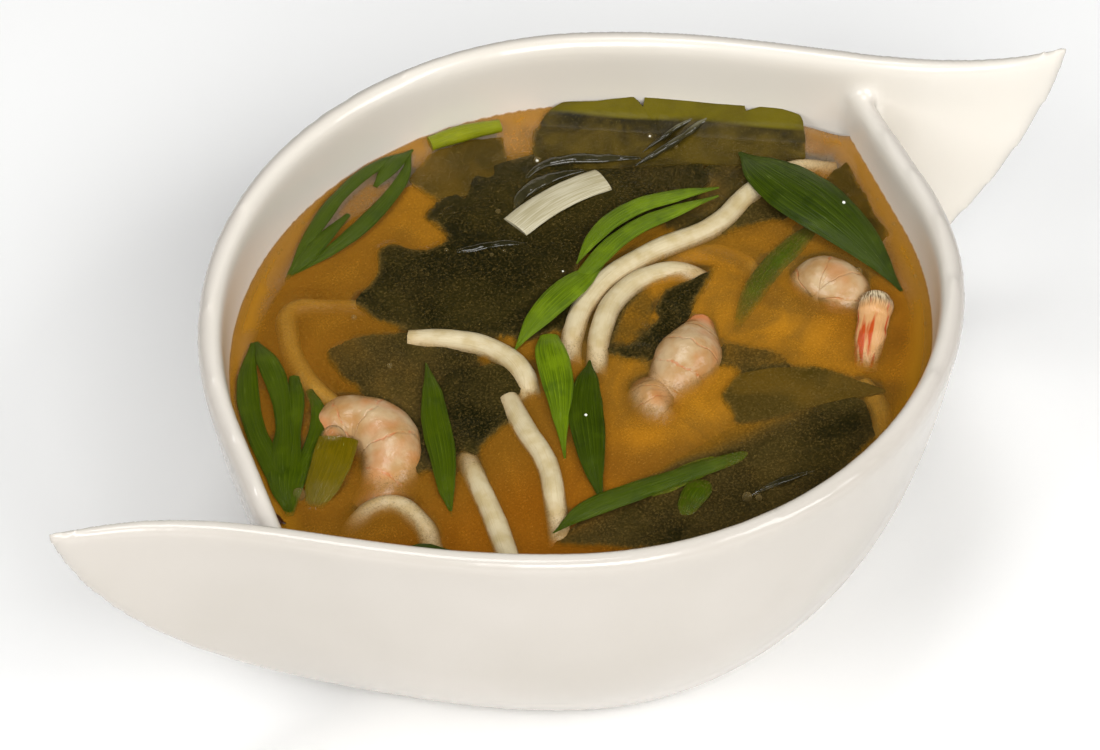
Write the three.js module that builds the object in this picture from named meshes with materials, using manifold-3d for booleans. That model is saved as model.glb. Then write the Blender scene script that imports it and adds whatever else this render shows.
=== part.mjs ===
// A bowl of miso soup: a white two-winged porcelain bowl, the broth up to its level, and every
// piece that breaks the surface: shrimps, noodles, a leek strip, green onion cuts and wakame.
// Millimetres, +Z up. The origin is the middle of the base, and +X runs to one wing's tip.
import * as THREE from 'three';
import { mergeVertices } from 'three/addons/utils/BufferGeometryUtils.js';
import Module from 'manifold-3d';

const wasm = await Module();
wasm.setup();

// ---- Driving dimensions ----
const REACH = 110;                 // from the middle to a wing's tip, along the long axis
const TIP_ASIDE = 2.8;             // the tip lies this far across the long axis
const RIM = 65;                    // height of the rim
const LEVEL = 49.5;                // height of the broth's surface
const FLOOR = 5;                   // thickness of the floor
const WALL = 3.8;                  // thickness of a wall at the broth
const LIP = 4.8;                   // thickness of a wall at its lip
const GAP = 0.3;                   // clearance between the bowl and what is in it
const CUT = 0.4;                   // clearance that a piece of food cuts in what lies under it

// Each of the two walls is a straight start, a round stretch and a wing, seen from above.
const ROUND = 73.5;                // radius of the round stretch
const ROUND_OFFSET = 7;            // its centre lies this far across the long axis
const ROUND_FROM = THREE.MathUtils.degToRad(-16);
const ROUND_TO = THREE.MathUtils.degToRad(-124);
const START_RUN = 32;              // length of the straight start
const WING_SHARE = 0.23;           // share of the wall's length that is free wing
const WING_RISE = 1;             // the tip stands this much above the rim
const START_DIP = 7;               // the start of a wall lies this much below the rim
const TIP_WALL = 2.4;              // thickness of the wing at its tip
const CLOSED = 2.5;                 // the wing's lower edge stays on the base until it would be this high

// The walls draw in towards the base: evenly, and in a round turn near the foot.
const DRAW = 0.136;
const TURN = 0.198;
const TURN_POWER = 3.57;
const FILLET = 16;                 // radius between the floor and the walls, inside

const ALONG = 26;                  // steps along a wall
const UP = 5;                      // steps up a wall

// ---- Solids ----
function solid(geometry) {
  const bare = geometry.clone();
  bare.deleteAttribute('normal');
  bare.deleteAttribute('uv');
  const merged = mergeVertices(bare, 1e-4);
  const points = new Float32Array(merged.attributes.position.array);
  const corners = new Uint32Array(merged.index.array);
  if (signedVolume(points, corners) < 0) {
    for (let i = 0; i < corners.length; i += 3) {
      [corners[i], corners[i + 1]] = [corners[i + 1], corners[i]];
    }
  }
  return new wasm.Manifold(new wasm.Mesh({ numProp: 3, vertProperties: points, triVerts: corners }));
}

function signedVolume(points, corners) {
  const a = new THREE.Vector3();
  const b = new THREE.Vector3();
  const c = new THREE.Vector3();
  let sum = 0;
  for (let i = 0; i < corners.length; i += 3) {
    a.fromArray(points, corners[i] * 3);
    b.fromArray(points, corners[i + 1] * 3);
    c.fromArray(points, corners[i + 2] * 3);
    sum += a.dot(b.cross(c)) / 6;
  }
  return sum;
}

function largest(body) {
  return body.decompose().reduce((best, one) => (one.volume() > best.volume() ? one : best));
}

function meshOf(name, body, finish) {
  const { vertProperties, triVerts } = body.getMesh();
  const geometry = new THREE.BufferGeometry();
  geometry.setAttribute('position', new THREE.BufferAttribute(vertProperties, 3));
  geometry.setIndex(new THREE.BufferAttribute(triVerts, 1));
  geometry.computeVertexNormals();
  const mesh = new THREE.Mesh(geometry, new THREE.MeshStandardMaterial(finish));
  mesh.name = name;
  return mesh;
}

// Moves every point of a geometry by a rule.
function reshape(geometry, rule) {
  const position = geometry.attributes.position;
  const point = new THREE.Vector3();
  for (let i = 0; i < position.count; i += 1) {
    point.fromBufferAttribute(position, i);
    rule(point);
    position.setXYZ(i, point.x, point.y, point.z);
  }
  return geometry;
}

// ---- The bowl ----
function wallRoute() {
  const centre = new THREE.Vector2(0, ROUND_OFFSET);
  const onRound = (angle) => new THREE.Vector2(Math.cos(angle), Math.sin(angle))
    .multiplyScalar(ROUND)
    .add(centre);
  const from = onRound(ROUND_FROM);
  const to = onRound(ROUND_TO);
  const startDirection = new THREE.Vector2(-Math.sin(ROUND_FROM), Math.cos(ROUND_FROM));
  const start = from.clone().addScaledVector(startDirection, START_RUN);
  const endDirection = new THREE.Vector2(Math.sin(ROUND_TO), -Math.cos(ROUND_TO));
  const leaving = to.clone().addScaledVector(endDirection, 0.37 * REACH);
  const route = new THREE.Path();
  route.moveTo(start.x, start.y);
  route.lineTo(from.x, from.y);
  route.absarc(centre.x, centre.y, ROUND, ROUND_FROM, ROUND_TO, true);
  route.bezierCurveTo(leaving.x, leaving.y, -0.73 * REACH, -0.07 * REACH, -REACH, TIP_ASIDE);
  route.arcLengthDivisions = 400;
  return route;
}
const ROUTE = wallRoute();

// How far the wall's plan is drawn in at a height, as a share of its size at the rim.
function drawnIn(z) {
  const below = 1 - z / RIM;
  return 1 - DRAW * below - TURN * Math.max(below, 0) ** TURN_POWER;
}

function wingShare(u) {
  return Math.max(0, (u - 1 + WING_SHARE) / WING_SHARE);
}

function topOf(u) {
  return RIM + WING_RISE * wingShare(u) ** 2 - START_DIP * (1 - Math.min(1, u / (1 - WING_SHARE))) ** 3;
}

function bottomOf(u) {
  const sweep = RIM * (1 - (1 - wingShare(u) ** 2) ** 0.58);
  return Math.max(0, (sweep - CLOSED) * RIM / (RIM - CLOSED));
}

// The inner face swells into the floor by a round fillet, which fades out along the wing.
function filletAt(z, u) {
  const rise = Math.min(Math.max((z - FLOOR) / FILLET, 0), 1);
  const fade = 1 - THREE.MathUtils.smoothstep(wingShare(u), 0, 0.12);
  return FILLET * (1 - Math.sqrt(1 - (1 - rise) ** 2)) * fade;
}

// A wall as an upright band: its section is drawn once, and each point of it is then set out
// from the route by its distance from the outer face and its share of the height there.
function wall(turned, gap) {
  const round = LIP / 2;
  const section = new THREE.Shape();
  const rows = Array.from({ length: UP + 1 }, (_, i) => round + (RIM - 2 * round) * (i / UP) ** 1.25);
  section.moveTo(0, rows[0]);
  rows.slice(1).forEach((y) => section.lineTo(0, y));
  section.absarc(round, RIM - round, round, Math.PI, 0, true);
  rows.slice(0, -1).reverse().forEach((y) => section.lineTo(LIP, y));
  section.absarc(round, round, round, 0, -Math.PI, true);
  const options = { depth: 1, steps: ALONG, bevelEnabled: false, curveSegments: 2 };
  const band = new THREE.ExtrudeGeometry(section, options);
  return solid(reshape(band, (point) => {
    const u = 1 - (1 - Math.min(Math.max(point.z, 0), 1)) ** 1.25;
    const z = heightOnWall(point.y, bottomOf(u), topOf(u), gap);
    const along = ROUTE.getTangentAt(u);
    const outer = ROUTE.getPointAt(u).multiplyScalar(drawnIn(z));
    outer.addScaledVector(along, u < 0.5 ? -gap * (1 - u) : 0);
    const thick = wallThickness(z, u) + 2 * gap;
    const inner = point.x / LIP;
    const across = inner * (thick + filletAt(z, u)) - gap;
    point.set(outer.x + along.y * across, outer.y - along.x * across, z);
    if (turned) point.set(-point.x, -point.y, point.z);
  }));
}

function wallThickness(z, u) {
  const body = THREE.MathUtils.lerp(WALL, LIP, THREE.MathUtils.smoothstep(z, LEVEL, RIM));
  return THREE.MathUtils.lerp(body, TIP_WALL, wingShare(u) ** 2);
}

function heightOnWall(y, low, top, gap) {
  const end = LIP / 2;
  const round = Math.min(end, (top - low) / 2);
  if (y < end) return low + (y / end) * round - gap * (1 - y / end) * (low > 0 ? 1 : 0);
  if (y > RIM - end) return top + gap - ((RIM - y) / end) * (round + gap);
  return low + round + ((y - end) / (RIM - 2 * end)) * (top - low - 2 * round);
}

// The outline that the two walls enclose, on the middle of their thickness.
function enclosed(inset) {
  const steps = 14;
  const half = [];
  for (let i = 0; i <= steps; i += 1) {
    const u = 0.03 + (i / steps) * (0.97 - WING_SHARE - 0.03);
    const along = ROUTE.getTangentAt(u);
    half.push(ROUTE.getPointAt(u).add(new THREE.Vector2(along.y, -along.x).multiplyScalar(inset)));
  }
  return [...half, ...half.map((p) => new THREE.Vector2(-p.x, -p.y))];
}

// The space between the walls from one height to another, reaching into the walls.
function between(low, high, steps) {
  const outline = new THREE.Shape(enclosed(WALL / 2));
  const block = new THREE.ExtrudeGeometry(outline, { depth: high - low, steps, bevelEnabled: false });
  return solid(reshape(block, (point) => {
    const z = low + point.z;
    const size = drawnIn(z);
    point.set(point.x * size, point.y * size, z);
  }));
}

function bowl(gap) {
  return wall(false, gap).add(wall(true, gap)).add(between(0, FLOOR + gap, 1));
}

// ---- Food: each kind is a small family of solids, and `grow` makes a larger one to cut with ----
const at = (x, y, height) => new THREE.Vector3(x, y, LEVEL + height);

// A strand of one thickness along a smooth route.
function strand(points, thickness, steps) {
  return (grow) => {
    const route = new THREE.CatmullRomCurve3(points.map((p) => at(...p)), false, 'centripetal');
    const section = new THREE.Shape().absarc(0, 0, thickness / 2 + grow, 0, 2 * Math.PI);
    const options = { steps, bevelEnabled: false, extrudePath: route, curveSegments: 4 };
    return solid(new THREE.ExtrudeGeometry(section, options));
  };
}

// A pod: a ball drawn out along a route, with a width, a thickness and a blunter or sharper end.
function pod(points, width, thickness, { around = 6, along = 8, blunt = 0.7, taper = 0 } = {}) {
  return (grow) => {
    const route = new THREE.CatmullRomCurve3(points.map((p) => at(...p)), false, 'centripetal');
    const up = new THREE.Vector3(0, 0, 1);
    return solid(reshape(new THREE.SphereGeometry(1, around, along), (point) => {
      const u = (1 - point.y) / 2;
      const ring = Math.hypot(point.x, point.z);
      const swell = ring ** blunt * (1 - taper * u);
      const turn = Math.atan2(point.z, point.x);
      const forward = route.getTangentAt(u);
      const side = new THREE.Vector3().crossVectors(up, forward).normalize();
      const over = new THREE.Vector3().crossVectors(forward, side);
      const isEnd = ring < 1e-6;
      const wide = isEnd ? 0 : (width / 2) * swell + grow;
      const tall = isEnd ? 0 : (thickness / 2) * swell + grow;
      point.copy(route.getPointAt(u));
      point.addScaledVector(side, wide * Math.cos(turn));
      point.addScaledVector(over, tall * Math.sin(turn));
      if (isEnd) point.addScaledVector(forward, u < 0.5 ? -grow : grow);
    }));
  };
}

// A hoop of onion skin: a closed band along a rounded outline.
function hoop(points, width, thickness, around = 18) {
  return (grow) => {
    const route = new THREE.CatmullRomCurve3(points.map((p) => at(...p)), true, 'centripetal');
    const up = new THREE.Vector3(0, 0, 1);
    return solid(reshape(new THREE.TorusGeometry(2, 1, 5, around), (point) => {
      const u = (Math.atan2(point.y, point.x) / (2 * Math.PI) + 1) % 1;
      const outward = Math.hypot(point.x, point.y) - 2;
      const rise = point.z;
      const forward = route.getTangentAt(u);
      const side = new THREE.Vector3().crossVectors(forward, up).normalize();
      point.copy(route.getPointAt(u));
      point.addScaledVector(side, outward * (width / 2 + grow));
      point.z += rise * (thickness / 2 + grow);
    }));
  };
}

// A leaf of wakame: a thin sheet out to an uneven outline, its back edge lifted where it climbs.
function leaf(centre, outline, thickness = 1.1, lift = () => 0) {
  return (grow) => {
    const edge = new THREE.CatmullRomCurve3(outline.map(([x, y]) => at(x, y, 0)), true, 'centripetal');
    const around = outline.length * 2;
    const half = thickness / 2 + grow;
    const profile = [
      [0, -half], [0.62, -half], [1, -0.45 * half],
      [1, 0.45 * half], [0.62, half], [0, half],
    ];
    const disc = new THREE.LatheGeometry(profile.map(([r, h]) => new THREE.Vector2(r, h)), around);
    const middle = at(...centre);
    return solid(reshape(disc, (point) => {
      const share = Math.hypot(point.x, point.z);
      const u = (Math.round((Math.atan2(point.x, point.z) / (2 * Math.PI)) * around) / around + 1) % 1;
      const rim = edge.getPoint(u).sub(middle);
      const reach = 1 + (2.5 * grow) / Math.hypot(rim.x, rim.y);
      const height = point.y;
      point.set(middle.x + rim.x * share * reach, middle.y + rim.y * share * reach, middle.z + height);
      point.z += share * lift(point.x, point.y);
    }));
  };
}

// ---- Finishes ----
const PORCELAIN = { color: '#efe9dd', roughness: 0.18, metalness: 0 };
const BROTH = { color: '#a9752f', roughness: 0.15, metalness: 0 };
const SHRIMP = { color: '#e9c3a6', roughness: 0.4, metalness: 0 };
const TAIL = { color: '#d9603a', roughness: 0.4, metalness: 0 };
const NOODLE = { color: '#ddcfae', roughness: 0.35, metalness: 0 };
const LEEK = { color: '#ecebdc', roughness: 0.35, metalness: 0 };
const ONION = { color: '#3f7a22', roughness: 0.35, metalness: 0 };
const WAKAME = { color: '#2f3413', roughness: 0.3, metalness: 0 };

// ---- Assembly: the bowl, then what breaks the surface from the topmost down, then the broth ----
const NOODLE_THICK = 4.4;
const SHRIMP_FORM = { around: 8, along: 8, blunt: 0.6 };
const miso = new THREE.Group();
let taken = bowl(GAP);

// Each piece is cut by what lies above it, and then cuts what lies below.
function serve(name, finish, make) {
  miso.add(meshOf(name, largest(make(0).subtract(taken)), finish));
  taken = taken.add(make(CUT));
}

// The back leaf climbs the wall behind it by a few millimetres.
function backLift(x, y) {
  const outward = (x * 0.6 + y * 0.8) - 54;
  return 3.2 * THREE.MathUtils.smoothstep(outward, 0, 10);
}

miso.add(meshOf('bowl', bowl(0), PORCELAIN));

serve('onion_loop_back', ONION, hoop([
  [3, 57, 0.6], [0, 59.5, 1], [-14, 56.5, 1], [-31, 48, 0.6], [-34, 44, 0.4], [-20, 46, 0.2], [-5, 52, 0.4],
], 2, 1.4));
serve('onion_tube_back', ONION, pod([[7, 57, 0], [13, 56, 0.2], [20, 54, 0]], 3.6, 2.6));
serve('onion_strip_middle', ONION, pod([
  [43, 17, 0.8], [28, 19, 1.5], [14, 16, 1.6], [4, 12, 1.3], [-11, 5, 0.8],
], 6, 1.8, { along: 12 }));
serve('onion_cut_middle', ONION, pod([
  [-5, 3, 0.6], [-9, -3, 1.2], [-13, -11, 1.2], [-19, -21, 0.5],
], 5, 1.8));
serve('onion_cut_front', ONION, pod([[-3, -6, 0.5], [-11, -16, 0.8], [-20, -33, 0.4]], 5.4, 1.6));
serve('onion_cut_left', ONION, pod([[-26, 11, 0.4], [-33, -1, 0.8], [-43, -20, 0.3]], 4.6, 1.6));
serve('onion_cut_right', ONION, pod([
  [53, 21, 0.8], [54, 10, 1.5], [55, -4, 1.4], [55, -22, 0.6],
], 9.5, 1.8, { along: 10 }));
serve('onion_loop_left', ONION, hoop([
  [-49, 34, 0.4], [-54, 32, 0.4], [-61, 16, 0.2], [-65.5, 1, 0],
  [-63, -2, 0.2], [-55, 10, 0.8], [-48, 24, 0.8],
], 2.2, 1.6));
serve('onion_fold_left', ONION, pod([[-49, 6, 0.6], [-56, 3, 1.2], [-63, -2, 0.2]], 6.5, 1.8));
serve('onion_strip_front', ONION, pod([
  [-31, -34, 0.2], [-20, -35, 0.6], [-5, -37, 0.5], [10, -39, 0],
], 4.2, 1.6, { along: 10 }));
serve('onion_chip_front', ONION, pod([
  [-55, -22, -0.2], [-52, -25, 0.3], [-48, -27, -0.2],
], 2.4, 1.4, { along: 6 }));
serve('leek_strip', LEEK, pod([[6, 33, -0.6], [17, 32.5, 0], [29, 31, -0.6]], 6.2, 2.2, { blunt: 0.15 }));

serve('noodle_left', NOODLE, strand([
  [-24, 19, -0.6], [-19, 14, 0.1], [-14, 7, 0.3], [-13, 0, 0.1], [-15, -6, -1.4],
], NOODLE_THICK, 9));
serve('noodle_front', NOODLE, strand([
  [-21, -4, -0.3], [-21, -13, 0.2], [-23, -22, 0], [-29, -33, -0.6],
], NOODLE_THICK, 8));
serve('noodle_front_left', NOODLE, strand([
  [-34, -10, -1.2], [-35, -18, -0.4], [-37, -27, -0.2], [-39.5, -33.5, -0.8],
], NOODLE_THICK, 7));
serve('noodle_sunk_left', NOODLE, strand([
  [-56, -13, -2.6], [-51, -11, -1.4], [-49, -17, -1.4], [-50, -24, -2.8],
], NOODLE_THICK, 7));
serve('noodle_long', NOODLE, strand([
  [64, 9, -1], [58, 14, -0.6], [48, 13, -0.2], [38, 10, 0],
  [22, 11, 0.2], [9, 9, 0.1], [0, 3, -0.4], [-5, -2, -1.6],
], NOODLE_THICK, 16));
serve('noodle_arch', NOODLE, strand([
  [29, 1, -1.6], [22, 6.5, -0.3], [13, 6, 0.2], [5, 1, 0], [-1, -6, -1.5],
], NOODLE_THICK, 9));

serve('shrimp_left', SHRIMP, pod([
  [-52, 9, -4], [-43.5, 7.5, -3.2], [-42, -1, -3.2], [-49, -7.5, -4.2],
], 11, 11, { ...SHRIMP_FORM, taper: 0.3 }));
serve('shrimp_middle', SHRIMP, pod([
  [19, -15, -3.6], [12, -14, -2.8], [5, -17, -3], [-2, -22, -3.6],
], 12, 10.5, { ...SHRIMP_FORM, taper: 0.5 }));
serve('shrimp_right', SHRIMP, pod([
  [39, -9, -3.4], [46, -8.5, -2.8], [50, -14, -2.8], [47, -21, -3.6],
], 10, 10, { ...SHRIMP_FORM, taper: 0.25 }));
serve('shrimp_tail_right', TAIL, pod([
  [47.5, -26, -1], [44, -30, -0.2], [40, -35, -1],
], 7, 4, { taper: -0.3 }));

serve('wakame_back', WAKAME, leaf([46, 32, -0.2], [
  [24, 41], [25, 50], [35, 51], [47, 44], [60, 32], [66, 22], [61, 17], [52, 23], [36, 31],
], 1.1, backLift));
serve('wakame_centre', WAKAME, leaf([14, 24, -0.2], [
  [-1, 34], [5, 42], [14, 42], [24, 37], [35, 27], [31, 17], [18, 14], [7, 14], [2, 24],
]));
serve('wakame_left', WAKAME, leaf([-12, 22, -0.2], [
  [-31, 28], [-24, 37], [-12, 40], [-3, 33], [-1, 22], [-6, 10], [-14, 2], [-24, 4], [-28, 16],
]));
serve('wakame_wavy', WAKAME, leaf([14, -5, -0.1], [
  [27, -2], [20, -7], [11, -9], [4, -7], [5, -3], [13, -3], [22, 0],
], 0.9));
serve('wakame_right', WAKAME, leaf([63, -1, -0.1], [[66, 4], [64, -5], [60, -12], [58, -7], [62, 3]], 0.9));
serve('wakame_point', WAKAME, leaf([22, -30, -0.1], [
  [16, -24], [25, -27], [36, -39], [24, -37], [13, -33],
], 0.9));
serve('wakame_front', WAKAME, leaf([2, -46, -0.3], [
  [-29, -39], [-14, -38.5], [6, -39], [20, -41], [31, -46.5], [24, -52], [6, -54.5], [-12, -51], [-23, -45],
]));

miso.add(meshOf('broth', largest(between(FLOOR, LEVEL, 3).subtract(taken)), BROTH));

export default miso;
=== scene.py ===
"""A bowl of miso soup: a two-winged porcelain bowl, cloudy amber broth, and what floats and sinks in it."""

import math
import random

import bpy
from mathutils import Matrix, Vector
from mathutils.bvhtree import BVHTree


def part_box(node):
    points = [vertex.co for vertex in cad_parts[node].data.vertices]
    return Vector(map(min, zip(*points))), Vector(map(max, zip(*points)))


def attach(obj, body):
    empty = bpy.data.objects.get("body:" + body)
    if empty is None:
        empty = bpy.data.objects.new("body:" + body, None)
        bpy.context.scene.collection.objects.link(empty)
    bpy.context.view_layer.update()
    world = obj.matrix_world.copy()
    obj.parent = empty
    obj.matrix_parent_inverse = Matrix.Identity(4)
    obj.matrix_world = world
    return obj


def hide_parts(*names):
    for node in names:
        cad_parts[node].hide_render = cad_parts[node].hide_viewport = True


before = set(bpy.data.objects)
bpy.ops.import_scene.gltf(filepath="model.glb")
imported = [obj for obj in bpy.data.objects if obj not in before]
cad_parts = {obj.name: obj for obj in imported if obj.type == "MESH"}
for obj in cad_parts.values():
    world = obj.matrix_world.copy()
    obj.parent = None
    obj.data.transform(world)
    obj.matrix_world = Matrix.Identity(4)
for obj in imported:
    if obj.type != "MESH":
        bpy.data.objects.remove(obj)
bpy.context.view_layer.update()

MM = 0.001
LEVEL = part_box("broth")[1].z            # the broth's surface
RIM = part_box("bowl")[1].z - 1 * MM      # the rim, below the wings' raised tips
REACH = 110 * MM
SEED = 7
DOUBLED = 0.02 * MM                     # points nearer than this are one


# ------------------------------ small tools
def deselect():
    if bpy.context.object and bpy.context.object.mode != "OBJECT":
        bpy.ops.object.mode_set(mode="OBJECT")
    bpy.ops.object.select_all(action="DESELECT")


def only(piece):
    deselect()
    piece.select_set(True)
    bpy.context.view_layer.objects.active = piece
    return piece


def named(piece, name):
    piece.name = name
    piece.data.name = name
    return piece


def settle(piece):
    """Puts the object's place into its mesh."""
    only(piece)
    bpy.ops.object.transform_apply(location=True, rotation=True, scale=True)
    return piece


def modify(piece, kind, **settings):
    """Adds a modifier and applies it."""
    only(piece)
    modifier = piece.modifiers.new(kind.title(), kind)
    for key, value in settings.items():
        setattr(modifier, key, value)
    bpy.ops.object.modifier_apply(modifier=modifier.name)
    return piece


def open_mesh(piece):
    """Opens a mesh for editing, with all of it selected."""
    only(piece)
    bpy.ops.object.mode_set(mode="EDIT")
    bpy.ops.mesh.select_all(action="SELECT")


def close_mesh():
    """Turns all the faces out and ends the editing."""
    bpy.ops.mesh.select_all(action="SELECT")
    bpy.ops.mesh.normals_make_consistent(inside=False)
    bpy.ops.object.mode_set(mode="OBJECT")


def smooth(piece, angle=50):
    only(piece)
    bpy.ops.object.shade_smooth_by_angle(angle=math.radians(angle))
    return piece


def joined(pieces, name):
    deselect()
    for piece in pieces:
        piece.select_set(True)
    bpy.context.view_layer.objects.active = pieces[0]
    if len(pieces) > 1:
        bpy.ops.object.join()
    return named(bpy.context.object, name)


def noise_texture(name, size, depth=2):
    texture = bpy.data.textures.new(name, "CLOUDS")
    texture.noise_scale = size
    texture.noise_depth = depth
    return texture


def rumple(piece, strength, size, direction="NORMAL", depth=2):
    """Pushes the surface about by soft noise."""
    texture = noise_texture(piece.name + "_rumple", size, depth)
    return modify(
        piece, "DISPLACE", texture=texture, strength=strength, mid_level=0.5,
        texture_coords="GLOBAL", direction=direction,
    )


def mix(a, b, t):
    return a + (b - a) * t


def ease(t):
    t = min(max(t, 0.0), 1.0)
    return t * t * (3 - 2 * t)


def at(x, y, height=0.0):
    """A point given in millimetres, its height counted from the broth's surface."""
    return Vector((x * MM, y * MM, LEVEL + height * MM))


# ------------------------------ the bowl's walls
WALL = 3.8 * MM
LIP = 4.8 * MM
TIP_WALL = 2.4 * MM
FLOOR = 5 * MM
FILLET = 16 * MM
ROUND = 73.5 * MM
ROUND_OFFSET = 7 * MM
ROUND_FROM = math.radians(-16)
ROUND_TO = math.radians(-124)
START_RUN = 32 * MM
TIP_ASIDE = 2.8 * MM
WING_SHARE = 0.23
WING_RISE = 1 * MM
START_DIP = 7 * MM
CLOSED = 2.5 * MM
DRAW, TURN, TURN_POWER = 0.136, 0.198, 3.57
SWEEP_POWER = 0.58                      # how the wing's lower edge curves up
FILLET_FADE = 0.12                      # the share of the wing over which the fillet dies out
VOXEL = 1.06 * MM


def wall_route(count=600):
    """Even points along the outer edge of one wall, seen from above."""
    def on_round(angle):
        return Vector((math.cos(angle) * ROUND, math.sin(angle) * ROUND + ROUND_OFFSET))

    start = on_round(ROUND_FROM) + START_RUN * Vector((-math.sin(ROUND_FROM), math.cos(ROUND_FROM)))
    dense = [start.lerp(on_round(ROUND_FROM), i / 60) for i in range(60)]
    dense += [on_round(mix(ROUND_FROM, ROUND_TO, i / 200)) for i in range(200)]
    end = on_round(ROUND_TO)
    handles = [
        end,
        end + 0.37 * REACH * Vector((math.sin(ROUND_TO), -math.cos(ROUND_TO))),
        Vector((-0.73 * REACH, -0.07 * REACH)),
        Vector((-REACH, TIP_ASIDE)),
    ]
    for i in range(201):
        t = i / 200
        shares = ((1 - t) ** 3, 3 * t * (1 - t) ** 2, 3 * t * t * (1 - t), t ** 3)
        dense.append(sum((s * h for s, h in zip(shares, handles)), Vector((0, 0))))
    lengths = [0.0]
    for a, b in zip(dense, dense[1:]):
        lengths.append(lengths[-1] + (b - a).length)
    even, k = [], 0
    for i in range(count + 1):
        goal = lengths[-1] * i / count
        while k < len(lengths) - 2 and lengths[k + 1] < goal:
            k += 1
        share = (goal - lengths[k]) / max(lengths[k + 1] - lengths[k], 1e-12)
        even.append(dense[k].lerp(dense[k + 1], min(share, 1.0)))
    return even


ROUTE = wall_route()


def on_route(u):
    place = min(max(u, 0.0), 1.0) * (len(ROUTE) - 1)
    k = min(int(place), len(ROUTE) - 2)
    ahead = (ROUTE[k + 1] - ROUTE[k]).normalized()
    return ROUTE[k].lerp(ROUTE[k + 1], place - k), Vector((ahead.y, -ahead.x))


def drawn_in(z):
    below = 1 - z / RIM
    return 1 - DRAW * below - TURN * max(below, 0) ** TURN_POWER


def wing_share(u):
    return max(0.0, (u - 1 + WING_SHARE) / WING_SHARE)


def top_of(u):
    return RIM + WING_RISE * wing_share(u) ** 2 - START_DIP * (1 - min(1.0, u / (1 - WING_SHARE))) ** 3


def bottom_of(u):
    sweep = RIM * (1 - (1 - min(wing_share(u), 1.0) ** 2) ** SWEEP_POWER)
    return max(0.0, (sweep - CLOSED) * RIM / (RIM - CLOSED))


def fillet_at(z, u):
    rise = min(max((z - FLOOR) / FILLET, 0.0), 1.0)
    fade = 1 - ease(wing_share(u) / FILLET_FADE)
    return FILLET * (1 - math.sqrt(1 - (1 - rise) ** 2)) * fade


def wall_thickness(z, u):
    body = mix(WALL, LIP, ease((z - LEVEL) / (RIM - LEVEL)))
    return mix(body, TIP_WALL, wing_share(u) ** 2)


def wall_point(u, z, inner, turned):
    """A point of a wall: inner is 0 on its outer face and 1 on its inner face."""
    outer, inward = on_route(u)
    across = inner * (wall_thickness(z, u) + fillet_at(z, u))
    spot = outer * drawn_in(z) + inward * across
    return Vector((-spot.x, -spot.y, z)) if turned else Vector((spot.x, spot.y, z))


def around_section(w, low, top):
    """(height, share across) at share w of the way round a wall's section."""
    half = min(LIP / 2, (top - low) / 2)
    if w < 0.4:
        return mix(low + half, top - half, w / 0.4), 0.0
    if w < 0.5:
        turn = math.pi * (w - 0.4) / 0.1
        return top - half + half * math.sin(turn), (1 - math.cos(turn)) / 2
    if w < 0.9:
        return mix(top - half, low + half, (w - 0.5) / 0.4), 1.0
    turn = math.pi * (w - 0.9) / 0.1
    return low + half - half * math.sin(turn), (1 + math.cos(turn)) / 2


def wall(turned):
    along, around = 150, 80
    deselect()
    bpy.ops.mesh.primitive_grid_add(x_subdivisions=along, y_subdivisions=around, size=1)
    band = bpy.context.object
    for vertex in band.data.vertices:
        u = 1 - (0.5 - vertex.co.x) ** 1.25 if vertex.co.x < 0.5 else 1.0
        w = min(max(vertex.co.y + 0.5, 0.0), 1.0)
        z, inner = around_section(w % 1.0, bottom_of(u), top_of(u))
        vertex.co = wall_point(u, z, inner, turned)
    open_mesh(band)
    bpy.ops.mesh.remove_doubles(threshold=DOUBLED)
    bpy.ops.mesh.fill_holes(sides=0)
    close_mesh()
    return band


def enclosed(inset, z, count=80):
    """The outline that both walls enclose at a height, as points."""
    half = []
    for i in range(count + 1):
        u = mix(0.03, 0.97 - WING_SHARE, i / count)
        outer, inward = on_route(u)
        half.append((outer + inward * inset) * drawn_in(z))
    outline = half + [-p for p in half]
    return [Vector((p.x, p.y, z)) for p in outline]


def plate(inset, heights):
    """A closed solid between the walls, through outlines at the given heights."""
    rings = [enclosed(inset, z) for z in heights]
    deselect()
    bpy.ops.mesh.primitive_circle_add(vertices=len(rings[0]), radius=1, fill_type="NGON")
    block = bpy.context.object
    for vertex, spot in zip(block.data.vertices, rings[0]):
        vertex.co = spot
    bpy.ops.object.mode_set(mode="EDIT")
    for ring in rings[1:]:
        bpy.ops.mesh.extrude_region_move()
        bpy.ops.object.mode_set(mode="OBJECT")
        picked = [v for v in block.data.vertices if v.select]
        for vertex, spot in zip(picked, ring):
            vertex.co = spot
        bpy.ops.object.mode_set(mode="EDIT")
    close_mesh()
    return block


def make_bowl():
    floor = plate(WALL / 2, [0.0, FLOOR / 2, FLOOR])
    body = joined([wall(False), wall(True), floor], "porcelain_bowl")
    modify(body, "REMESH", mode="VOXEL", voxel_size=VOXEL)
    modify(body, "SMOOTH", factor=0.5, iterations=16)
    only(body)
    bpy.ops.object.shade_smooth()
    # mask for the painted light inside: near 1 on faces that look in toward the bowl's axis
    inner_painted_light = body.data.attributes.new("inner_painted_light", "FLOAT", "POINT")
    for vertex in body.data.vertices:
        toward_axis = -(vertex.normal.xy.dot(vertex.co.xy.normalized()))
        inner_painted_light.data[vertex.index].value = ease(0.5 + toward_axis)
    return body


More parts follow.
